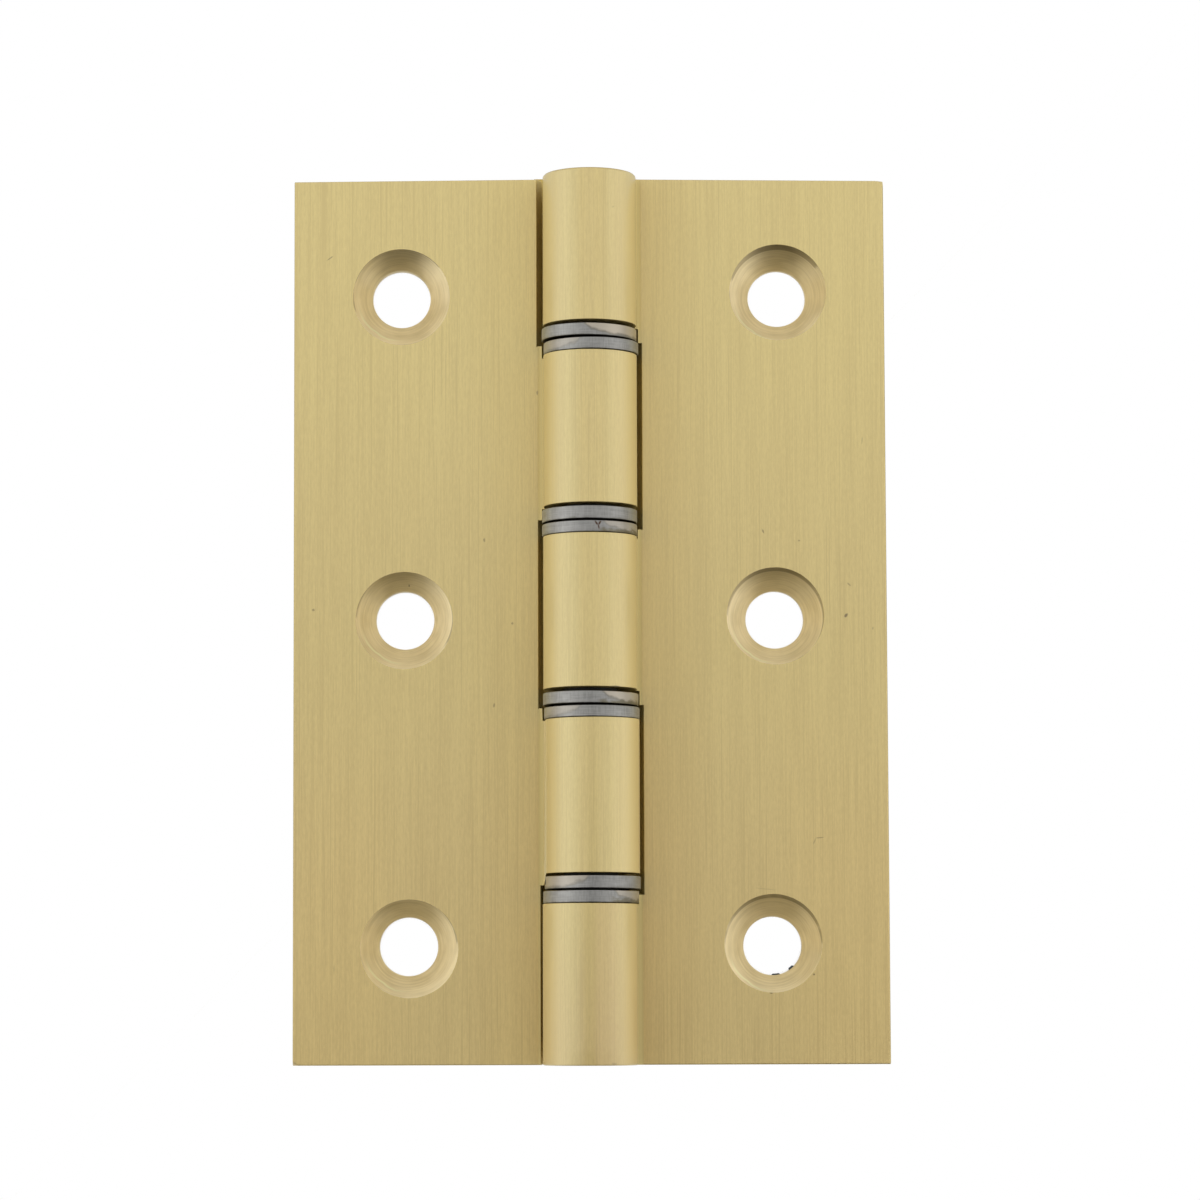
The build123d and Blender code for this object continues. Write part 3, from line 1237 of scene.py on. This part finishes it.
    def finishes(self) -> dict[Region, Metal]:
        """Name the finish of each region.

        Returns:
            The finishes.
        """
        name, seed = self.name, 11.0 if self.side is Side.DOOR else 4.0
        return {
            Region.SATIN: SatinBrass(
                f"{name}_satin_brass", dark=(0.570, 0.442, 0.174), light=(0.682, 0.546, 0.223),
                rough=(0.46, 0.54), metallic=0.85, brushed=0.5, coat=1.0, seed=seed, marks=self.marks,
                shade=self.shade, crease_shade_fall=self.crease_shade_fall, zones=self.face_zones() + self.zones,
                wear_amount=0.3, soil_and_shade_amount=0.35),
            Region.SAWN: LinedMetal(
                f"{name}_sawn_brass", dark=(0.50, 0.385, 0.15), light=(0.64, 0.51, 0.22),
                rough=(0.32, 0.45), strokes=(5.0, 5.0, 0.5), seed=seed, soil_and_shade_amount=0.3),
            Region.DRAWN: LinedMetal(
                f"{name}_drawn_brass", dark=(0.42, 0.32, 0.13), light=(0.58, 0.455, 0.20),
                rough=(0.34, 0.5), strokes=(4.0, 0.06, 4.0), bands=(0.25, 0.12, 0.25), seed=seed),
            Region.MILLED: LinedMetal(
                f"{name}_milled_brass", dark=(0.56, 0.43, 0.145), light=(0.70, 0.55, 0.20),
                rough=(0.36, 0.5), metallic=0.7, strokes=(3.0, 6.0, 0.6), seed=seed,
                soil_and_shade_colour=(0.14, 0.095, 0.024), soil_and_shade_amount=0.45, soil_and_shade_reach=2.0),
            Region.TURNED: TurnedBrass(
                f"{name}_turned_brass", dark=(0.77, 0.65, 0.39), light=(0.94, 0.81, 0.52),
                rough=(0.36, 0.41), metallic=1.0, bump_depth=0.004, side=self.side,
                marks=self.sink_marks, sizes=self.sizes, soil_and_shade_amount=0.0),
            # Painted shade: the slivers in the holes are nearly black
            Region.BURR: LinedMetal(
                f"{name}_dull_burr", dark=(0.035, 0.045, 0.055), light=(0.08, 0.10, 0.12),
                rough=(0.45, 0.6), metallic=0.3, strokes=(3.0, 3.0, 3.0), seed=seed),
        }

    def dress(self, piece: Piece, effects: Effects) -> None:
        """Give each region its finish, and seat the leaf on its body.

        Args:
            piece: The leaf.
            effects: The shared effects.
        """
        for region, finish in self.finishes().items():
            place = piece.data.materials.find(self.slot_for(region).name)
            if place >= 0:
                piece.data.materials[place] = finish.build(effects)
        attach(piece, self.body)
        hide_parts(self.name)


@dataclass
class Pin:
    """The plain steel rod through the barrel."""

    body: str = "frame_side"
    node: str = "hinge_pin"
    sizes: HingeSizes = field(default_factory=HingeSizes)

    def build(self) -> Piece:
        """Turn the rod, with a rounded break and a shallow centre in each end.

        Returns:
            The pin in metres.
        """
        s = self.sizes
        end = s.height / 2 - s.pin_recess
        inner = s.pin_radius - s.pin_chamfer
        edge = arc((inner, end - s.pin_chamfer), s.pin_chamfer, 0.0, 90.0, 6)
        half = edge + [(1.2, end - 0.02), (0.5, end - 0.05), (0.12, end - 0.30)]
        near_end = (s.pin_radius, s.height / 2 - 1.0)
        half = [near_end, *half]
        profile = [(r, -y) for r, y in reversed(half)] + half
        pin = lathe("hinge_pin_rod", profile, 96, lambda a, b, y: (a, y, b + s.barrel_radius))
        return finish_mesh(pin)

    def dress(self, piece: Piece, effects: Effects) -> None:
        """Finish the pin in drawn steel at its ends and in greased steel, painted nearly black as shade,
        along the rest, and seat it on its body.

        Args:
            piece: The pin.
            effects: The shared effects.
        """
        bright = LinedMetal("drawn_pin_steel", dark=(0.30, 0.295, 0.285), light=(0.46, 0.455, 0.44),
                            rough=(0.24, 0.38), strokes=(5.0, 0.3, 5.0), soil_and_shade_amount=0.5)
        # Greased, and painted nearly black as the shade in the gaps between knuckles and washers
        greased_and_shaded = LinedMetal("greased_shaded_pin_steel", dark=(0.016, 0.014, 0.010), light=(0.034, 0.030, 0.022),
                             rough=(0.5, 0.65), metallic=0.2, strokes=(4.0, 0.8, 4.0))
        for finish in (bright, greased_and_shaded):
            piece.data.materials.append(finish.build(effects))
        past_chamfer = (self.sizes.height / 2 - 1.0) * MM
        for face in piece.data.polygons:
            face.material_index = int(abs(face.center.y) < past_chamfer)
        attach(piece, self.body)
        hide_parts(self.node)


@dataclass(frozen=True)
class WasherLook:
    """How one washer lies and has worn: where its burnished arc faces in degrees, how pale that is,
    how much grime lies under it, its thickness, and its slip along the pin and lean on it.
    """

    node: str
    facing: float
    burnished: float
    grimy: float
    thickness: float
    slip: float
    lean: float = 0.0


@dataclass
class WasherSet:
    """The washers that turn with one leaf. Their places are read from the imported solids."""

    name: str
    body: str
    washers: tuple[WasherLook, ...]
    rust_marks: tuple[Mark, ...] = ()
    sizes: HingeSizes = field(default_factory=HingeSizes)

    def build(self) -> Piece:
        """Set a ring at each washer's place.

        Returns:
            The washers in metres, as one mesh.
        """
        mesh = bpy.data.meshes.new(self.name)
        boxes = [[corner / MM for corner in map(Vector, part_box(washer.node))] for washer in self.washers]
        slips = [Vector((0.0, washer.slip, 0.0)) for washer in self.washers]
        mesh.from_pydata([(low + high) / 2 + slip for (low, high), slip in zip(boxes, slips)], [], [])
        thickness = self.sizes.washer_thickness
        for name, values in (("turn", [math.radians(-washer.facing) for washer in self.washers]),
                             ("lean", [math.radians(washer.lean) for washer in self.washers]),
                             ("thick", [washer.thickness / thickness for washer in self.washers]),
                             ("burnished", [washer.burnished for washer in self.washers]),
                             ("grimy", [washer.grimy for washer in self.washers])):
            mesh.attributes.new(name, "FLOAT", "POINT").data.foreach_set("value", values)
        piece = new_object(self.name, mesh)
        rings = piece.modifiers.new("washers", "NODES")
        rings.node_group = washer_tree()
        rim = (boxes[0][1].z - boxes[0][0].z) / 2
        set_inputs(rings, {"Rim Radius": rim, "Bore Radius": self.sizes.washer_bore,
                           "Thickness": self.sizes.washer_thickness, "Edge": 0.08, "Segments": 144,
                           "Material": bpy.data.materials.new(self.name + "_region")})
        return finish_mesh(settle(piece))

    def dress(self, piece: Piece, effects: Effects) -> None:
        """Finish the washers in steel and seat them on their body.

        Args:
            piece: The washers.
            effects: The shared effects.
        """
        steel = WasherSteel(self.name + "_steel", dark=(0.240, 0.236, 0.224), light=(0.350, 0.345, 0.328),
                            rough=(0.36, 0.5), rust_marks=self.rust_marks, soil_and_shade_amount=0.8,
                            soil_and_shade_reach=0.5, sizes=self.sizes)
        piece.data.materials.clear()
        piece.data.materials.append(steel.build(effects))
        piece.data.polygons.foreach_set("material_index", [0] * len(piece.data.polygons))
        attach(piece, self.body)
        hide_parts(*(washer.node for washer in self.washers))


def set_inputs(modifier: bpy.types.Modifier, values: dict[str, object]) -> None:
    """Set a node modifier's inputs, found by name and set by their identifiers.

    Args:
        modifier: The modifier, whose tree is already set.
        values: The value of each named input.
    """
    for item in modifier.node_group.interface.items_tree:
        if item.item_type == "SOCKET" and item.in_out == "INPUT" and item.name in values:
            modifier[item.identifier] = values[item.name]


def row_tree() -> Tree:
    """Repeat a shape along a leaning row.

    Returns:
        The geometry tree.
    """
    known = bpy.data.node_groups.get("screw_row")
    if known:
        return known
    w, get, put = new_group(
        "screw_row", "GeometryNodeTree",
        {"Geometry": "Geometry", "Count": "Int", "Pitch": "Float", "Middle": "Vector", "Lean": "Float",
         "Material": "Material", "Shift 1": "Vector", "Shift 2": "Vector", "Shift 3": "Vector"},
        {"Geometry": "Geometry"})
    steps = w.times(w.minus(get["Count"], 1.0), -0.5)
    row = w.made("GeometryNodeMeshLine", {
        "Count": get["Count"], "Start Location": w.join(0.0, w.times(steps, get["Pitch"])),
        "Offset": w.join(0.0, get["Pitch"])})
    laid = w.made("GeometryNodeTransform", {
        "Geometry": row, "Translation": get["Middle"],
        "Rotation": w.join(0.0, 0.0, get["Lean"])})
    number = w.made("GeometryNodeInputIndex")
    shift = get["Shift 3"]
    for count in (1, 0):
        shift = w.node("ShaderNodeMix", {
            0: w.math("COMPARE", number, float(count), 0.1), 4: shift, 5: get[f"Shift {count + 1}"]},
            data_type="VECTOR").outputs[1]
    moved = w.made("GeometryNodeSetPosition", {"Geometry": laid, "Offset": shift})
    copies = w.made("GeometryNodeInstanceOnPoints", {"Points": moved, "Instance": get["Geometry"]})
    plain = w.made("GeometryNodeRealizeInstances", {0: copies})
    made = w.made("GeometryNodeSetMaterial", {"Geometry": plain, "Material": get["Material"]})
    w.feed(put[0], made)
    return w.tree


def washer_tree() -> Tree:
    """Set a flat ring with rounded edges at every point, and keep each ring's own places.

    Returns:
        The geometry tree.
    """
    known = bpy.data.node_groups.get("washers_on_pin")
    if known:
        return known
    w, get, put = new_group(
        "washers_on_pin", "GeometryNodeTree",
        {"Geometry": "Geometry", "Rim Radius": "Float", "Bore Radius": "Float", "Thickness": "Float",
         "Edge": "Float", "Segments": "Int", "Material": "Material"},
        {"Geometry": "Geometry"})
    middle = w.times(w.plus(get["Rim Radius"], get["Bore Radius"]), 0.5)
    across = w.minus(get["Rim Radius"], get["Bore Radius"])
    path = w.made("GeometryNodeCurvePrimitiveCircle", {"Resolution": get["Segments"], "Radius": middle})
    section = w.made("GeometryNodeCurvePrimitiveQuadrilateral", {
        "Width": across, "Height": get["Thickness"]})
    rounded = w.made("GeometryNodeFilletCurve", {
        "Curve": section, "Count": 3, "Radius": get["Edge"]}, mode="POLY")
    ring = w.made("GeometryNodeCurveToMesh", {0: path, "Profile Curve": rounded})
    stood = w.made("GeometryNodeTransform", {
        "Geometry": ring, "Rotation": (math.radians(90), 0.0, 0.0)})
    own = w.made("GeometryNodeInputPosition")
    kept = w.made("GeometryNodeStoreNamedAttribute", {
        "Geometry": stood, "Name": "ring_place", "Value": own},
        data_type="FLOAT_VECTOR", domain="POINT")
    turn, lean, thick = (
        w.made("GeometryNodeInputNamedAttribute", {"Name": name}, data_type="FLOAT")
        for name in ("turn", "lean", "thick"))
    copies = w.made("GeometryNodeInstanceOnPoints", {
        "Points": get["Geometry"], "Instance": kept,
        "Rotation": w.join(0.0, turn, lean), "Scale": w.join(1.0, thick, 1.0)})
    index = w.made("GeometryNodeInputIndex")
    numbered = w.made("GeometryNodeStoreNamedAttribute", {
        "Geometry": copies, "Name": "washer_number", "Value": index},
        data_type="FLOAT", domain="INSTANCE")
    plain = w.made("GeometryNodeRealizeInstances", {0: numbered})
    made = w.made("GeometryNodeSetMaterial", {"Geometry": plain, "Material": get["Material"]})
    w.feed(put[0], made)
    return w.tree


# The studio


@dataclass
class Studio:
    """Camera, floor, lamps and the cards round the hinge. Sizes and places here are in metres."""

    eye: tuple = (-0.0022248, -0.0333061, 0.353465)
    gaze: tuple = (0.09885377, -0.00848566, -0.00283921)
    lens: float = 123.787
    ambient: float = 0.9
    floor_size: float = 6.0
    painted_shadow_tone: Colour = (0.70, 0.54, 0.18)
    paper_tone: Colour = (0.86, 0.86, 0.85)
    # Where shadow is painted under the two ends of the narrow gap beside the barrel: the places, and half a
    # patch's sides
    gap_x: float = -4.28 * MM
    gap_ends: Point = (37.0 * MM, -36.45 * MM)
    shadow_patch: Point = (0.46 * MM, 1.52 * MM)

    def camera(self) -> None:
        """Stand the camera where the photograph was taken from."""
        data = bpy.data.cameras.new("camera")
        data.lens, data.sensor_width, data.clip_start = self.lens, 36.0, 0.01
        camera = new_object("camera", data)
        camera.location, camera.rotation_euler = self.eye, Euler(self.gaze)
        bpy.context.scene.camera = camera

    def world(self) -> None:
        """Surround the hinge with plain white."""
        world = bpy.data.worlds.new("white_room")
        w = start_nodes(world)
        path = w.node("ShaderNodeLightPath").outputs
        seen = w.math("MAXIMUM", path["Is Camera Ray"], path["Is Glossy Ray"])
        seen = w.math("MAXIMUM", seen, path["Is Transmission Ray"])
        room, white = (w.made("ShaderNodeBackground", {"Color": WHITE, "Strength": strength})
                       for strength in (self.ambient, 1.0))
        mixed = w.made("ShaderNodeMixShader", {0: seen, 1: room, 2: white})
        w.node("ShaderNodeOutputWorld", {"Surface": mixed})
        bpy.context.scene.world = world

    def floor(self) -> None:
        """Lay the pale floor that the hinge's backs lie on.

        Where nothing shades it, the camera looks through it at the white of the room, so a leaf that is
        swung back below it stays in sight. Where it is closed in, it is painted with a brassy brown shadow,
        and two patches of painted shadow lie under the ends of the narrow gap.
        """
        material = bpy.data.materials.new("pale_floor")
        w = start_nodes(material)
        camera_ray = w.node("ShaderNodeLightPath").outputs["Is Camera Ray"]
        openness = w.node("ShaderNodeAmbientOcclusion", {"Distance": 0.006}, samples=24).outputs["AO"]
        x, y, _ = w.part(w.node("ShaderNodeTexCoord").outputs["Object"])
        beside = w.absolute(w.minus(x, self.gap_x))
        along = w.math("MINIMUM", *(w.absolute(w.minus(y, end)) for end in self.gap_ends))
        soft = 0.04 * MM
        shadow_patches = [w.fall(off, half - soft, half + soft) for off, half in zip((beside, along), self.shadow_patch)]
        unshut = w.minus(1.0, w.times(*shadow_patches))
        clear_share = w.times(w.times(w.ramp(openness, 0.24, 0.42), unshut), camera_ray)
        # Painted shadow: where the floor is closed in its colour turns to a brassy brown
        tone = w.blend(w.times(w.ramp(openness, 0.08, 0.30), unshut), self.painted_shadow_tone, self.paper_tone)
        paper = w.made("ShaderNodeBsdfDiffuse", {"Color": tone})
        clear = w.made("ShaderNodeBsdfTransparent", {"Color": WHITE})
        mixed = w.made("ShaderNodeMixShader", {0: clear_share, 1: paper, 2: clear})
        w.node("ShaderNodeOutputMaterial", {"Surface": mixed})
        new_object("floor", self.sheet("floor", (self.floor_size, self.floor_size), material))

    def sheet(self, name: str, size: Point, material: bpy.types.Material) -> bpy.types.Mesh:
        """Cut a flat sheet round the origin.

        Args:
            name: The mesh's name.
            size: Its width and height.
            material: What it is made of.

        Returns:
            The mesh.
        """
        x, y = size[0] / 2, size[1] / 2
        mesh = bpy.data.meshes.new(name)
        mesh.from_pydata([(-x, -y, 0), (x, -y, 0), (x, y, 0), (-x, y, 0)], [], [(0, 1, 2, 3)])
        mesh.materials.append(material)
        return mesh

    def lamp(self, name: str, place: tuple, size: Point, radiance: float) -> None:
        """Hang a soft box that faces the hinge.

        Args:
            name: The lamp's name.
            place: Where its middle is.
            size: Its width and height.
            radiance: How bright its face is, where 1 is the white of the room.
        """
        data = bpy.data.lights.new(name, "AREA")
        data.shape, data.size, data.size_y = "RECTANGLE", *size
        data.energy = radiance * math.pi * size[0] * size[1]
        lamp = new_object(name, data)
        lamp.location = place
        lamp.rotation_euler = Vector(place).to_track_quat("Z", "Y").to_euler()
        lamp.visible_camera = False

    def card(self, name: str, place: tuple, size: Point, level: Point,
             reach: Point = (-1.0, 1.0), sides: Point = (8.0, 9.0)) -> None:
        """Stand a card that only shows in the metal, as the dark front of a light tent does.

        Args:
            name: The card's name.
            place: Where its middle is.
            size: Its width and height.
            level: How bright it is at the two ends of its reach, where 1 is the white of the room.
            reach: The two ends along the hinge's Y.
            sides: How far out across the hinge it starts to pale, and where it is as bright as the room.
        """
        material = bpy.data.materials.new(name)
        w = start_nodes(material)
        across, along, _ = w.part(w.node("ShaderNodeTexCoord").outputs["Object"])
        shade = w.ramp(w.absolute(across), *sides, w.ramp(along, *reach, *level), 1.0)
        face = w.made("ShaderNodeEmission", {"Color": w.join(shade, shade, shade), "Strength": 1.0})
        w.node("ShaderNodeOutputMaterial", {"Surface": face})
        mesh = self.sheet(name, size, material)
        turn = Vector(place).to_track_quat("Z", "Y").to_matrix().to_4x4()
        mesh.transform(Matrix.Translation(place) @ turn)
        card = new_object(name, mesh)
        card.visible_camera = card.visible_diffuse = card.visible_shadow = False
        card.visible_transmission = False

    def build(self) -> None:
        """Set everything up."""
        self.camera()
        self.world()
        self.floor()
        self.lamp("soft_box_left", (-0.52, 0.08, 0.22), (0.8, 0.4), 0.4)
        self.lamp("soft_box_right", (0.52, 0.08, 0.22), (0.8, 0.4), 0.4)
        self.card("tent_front", (-0.01, -0.40, 0.24), (1.6, 0.52), (0.0, 0.0), sides=(0.15, 0.78))
        self.card("tent_opening", (-0.002, -0.2, 0.60), (0.32, 1.1), (0.0, 1.16), (-0.14, 0.16))
        bpy.context.scene.view_settings.view_transform = "Standard"


def leaves() -> list[Leaf]:
    """Say what sets the two leaves apart.

    Returns:
        The frame leaf and the door leaf.
    """
    past = HingeSizes.height / 2 + 1.0
    return [
        Leaf("frame_leaf", "frame_side", Side.FRAME, 2.31,
             gaps=[(24.895, 6.745), (-6.305, -24.455)], notch_depths=(0.40, 0.44), notch_shift=-0.2,
             sink_shifts=((0.0, 0.19), (0.0, 0.19), (0.03, 0.29)),
             shade=(0.962, 0.928, 0.86), crease_shade_fall=0.80, upper_shoulders=(4.19, 4.20),
             off_square=(0.15, 0.03),
             # Painted shade on the lowest knuckle: right of its middle, and across its lower end
             zones=(Zone((0.3, 2.2), (-40.0, -20.0), (0.5, 1.0), (0.945, 0.91, 0.90)),
                    Zone((-1.8, 2.2), (-40.0, -36.8), (0.6, 0.8), (0.955, 0.95, 0.91))),
             burrs=(Burr(0, -84.0, 9.0, 0.13), Burr(0, -50.0, 7.0, 0.17)),
             stray_knuckles=((-38.0, -24.455, -0.07),),
             knocked_corner=(Vector((25.4, 38.0, 2.5)), Vector((0.75, 0.45, 0.35))),
             marks=(Mark(2.1, -6.28, 0.42, 0.07, 0, 0.8, z=7.5),
                    Mark(21.88, 0.13, 0.22, 0.14, 60, 0.75), Mark(24.16, -0.97, 0.13, 0.08, 80, 0.3),
                    Mark(22.16, 2.80, 0.2, 0.08, 140, 0.35), Mark(23.39, 15.22, 0.35, 0.05, 85, 0.35),
                    Mark(19.50, -18.85, 0.36, 0.06, 5, 0.4), Mark(19.03, -19.17, 0.32, 0.06, 67, 0.28),
                    Mark(14.83, 7.40, 0.24, 0.08, 114, 0.5), Mark(17.91, 6.57, 0.11, 0.09, 0, 0.4),
                    Mark(15.30, -31.98, 0.16, 0.09, 10, 0.6), Mark(18.90, -30.43, 0.10, 0.09, 0, 0.7),
                    Mark(2.0, 34.64, 0.14, 0.10, 30, 0.2, z=8.0),
                    Mark(1.9, -37.85, 0.25, 0.12, 0, 0.3, z=7.5), Mark(14.9, -23.2, 1.1, 0.05, 174, 0.14))),
        Leaf("door_leaf", "door_side", Side.DOOR, 2.35,
             gaps=[(past, 22.345), (9.295, -8.855), (-21.905, -past)], notch_depths=(0.43, 0.32, 0.18),
             notch_shift=0.07, sink_shifts=((0.08, -0.2), (-0.03, -0.15), (0.03, -0.09)),
             shade=(1.0, 0.978, 0.905), crease_shade_fall=0.93, upper_shoulders=(4.1, 4.1, 3.93),
             off_square=(0.21, 0.16),
             stray_knuckles=((-21.905, -8.855, 0.16), (9.295, 22.345, 0.04)),
             sink_marks=(Mark(-15.5, 2.86, 0.12, 0.06, 90, 0.7, RUST, 1.9),),
             knocked_corner=(Vector((-25.4, -38.0, 2.5)), Vector((-0.5, -0.35, 0.4))),
             marks=(Mark(-22.32, 31.11, 0.35, 0.06, 35, 0.5), Mark(-4.45, 19.4, 0.12, 0.22, 0, 0.5),
                    Mark(-23.64, 0.68, 0.13, 0.12, 0, 0.5), Mark(-8.21, -7.51, 0.2, 0.10, 80, 0.45),
                    Mark(-9.04, 6.67, 0.18, 0.10, 90, 0.45), Mark(-6.64, -0.50, 0.13, 0.11, 60, 0.45),
                    Mark(-21.76, -29.89, 0.35, 0.06, 90, 0.2))),
    ]


def washer_sets() -> list[WasherSet]:
    """Say which washers turn with which leaf.

    Returns:
        The two sets.
    """
    return [
        WasherSet("frame_side_washers", "frame_side",
                  (WasherLook("washer_1_upper", 32.0, 0.95, 0.0, 1.04, -0.043, -0.6),
                   WasherLook("washer_2_lower", 10.0, 0.5, 0.9, 0.968, -0.086),
                   WasherLook("washer_3_upper", 12.0, 0.8, 0.8, 1.037, -0.09, -0.5),
                   WasherLook("washer_4_lower", -2.0, 0.6, 0.8, 1.028, -0.036)),
                  rust_marks=(Mark(0.51, 7.49, 0.23, 0.085, 127, 1.0, RUST, 8.0),
                              Mark(0.80, 7.49, 0.22, 0.085, 59, 1.0, RUST, 8.0),
                              Mark(0.71, 7.15, 0.21, 0.075, 100, 0.9, RUST, 8.0))),
        WasherSet("door_side_washers", "door_side",
                  (WasherLook("washer_1_lower", 166.0, 0.42, 0.0, 1.0, -0.059),
                   WasherLook("washer_2_upper", 270.0, 0.0, 0.0, 1.097, -0.06),
                   WasherLook("washer_3_lower", 167.0, 0.35, 0.0, 0.968, -0.086),
                   WasherLook("washer_4_upper", 158.0, 0.6, 0.0, 1.077, 0.01))),
    ]


def main() -> None:
    """Build the studio and every piece of the hinge, and hide the imported solids that they stand for."""
    logging.basicConfig(level=logging.INFO, format="%(name)s: %(message)s")
    Studio().build()
    effects = Effects()
    for maker in (*leaves(), Pin(), *washer_sets()):
        piece = maker.build()
        maker.dress(piece, effects)
        log.info("%s: %d faces, on %s", piece.name, len(piece.data.polygons), maker.body)


if __name__ == "__main__":
    main()
